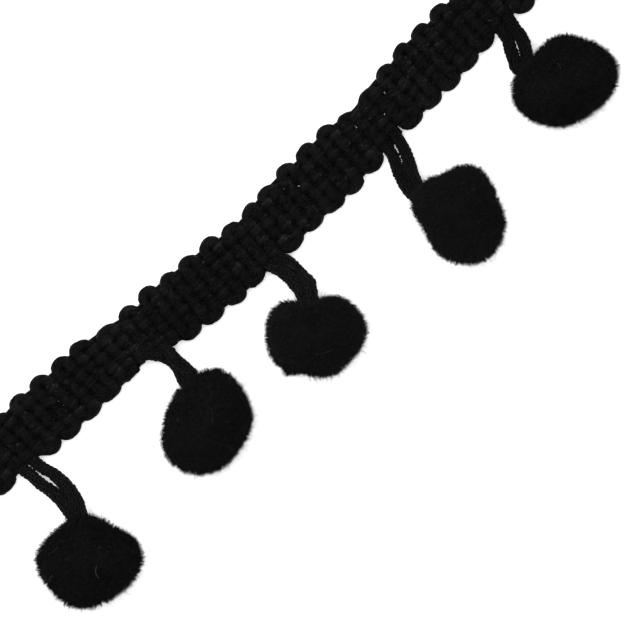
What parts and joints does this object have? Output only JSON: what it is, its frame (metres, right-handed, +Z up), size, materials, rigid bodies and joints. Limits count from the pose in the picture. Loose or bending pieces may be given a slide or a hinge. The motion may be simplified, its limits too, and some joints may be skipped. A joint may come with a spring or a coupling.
{
  "type": "pompom fringe trim",
  "caption": "Cut length of narrow black knitted trim with scalloped edges and a row of small cut-pile pompoms hanging from doubled cords along one edge, lying flat.",
  "frame": {"origin": "middle of the heading's flat underside, half way along its length", "axes": "+X along the heading, -Y towards the pompoms, +Z up, away from the surface that the trim lies on"},
  "size_m": [0.1014, 0.0296, 0.0115],
  "materials": {
    "weft_yarn": "matt black plied yarn, knitted",
    "drop_cord": "matt black fine chainette cord",
    "pile": "matt black cut pile"
  },
  "bodies": {
    "root": {"heading": "weft_yarn", "drop_cord_1": "drop_cord", "drop_cord_2": "drop_cord", "drop_cord_3": "drop_cord", "drop_cord_4": "drop_cord", "drop_cord_5": "drop_cord", "pompom_1": "pile", "pompom_2": "pile", "pompom_3": "pile", "pompom_4": "pile", "pompom_5": "pile"}
  },
  "joints": []
}
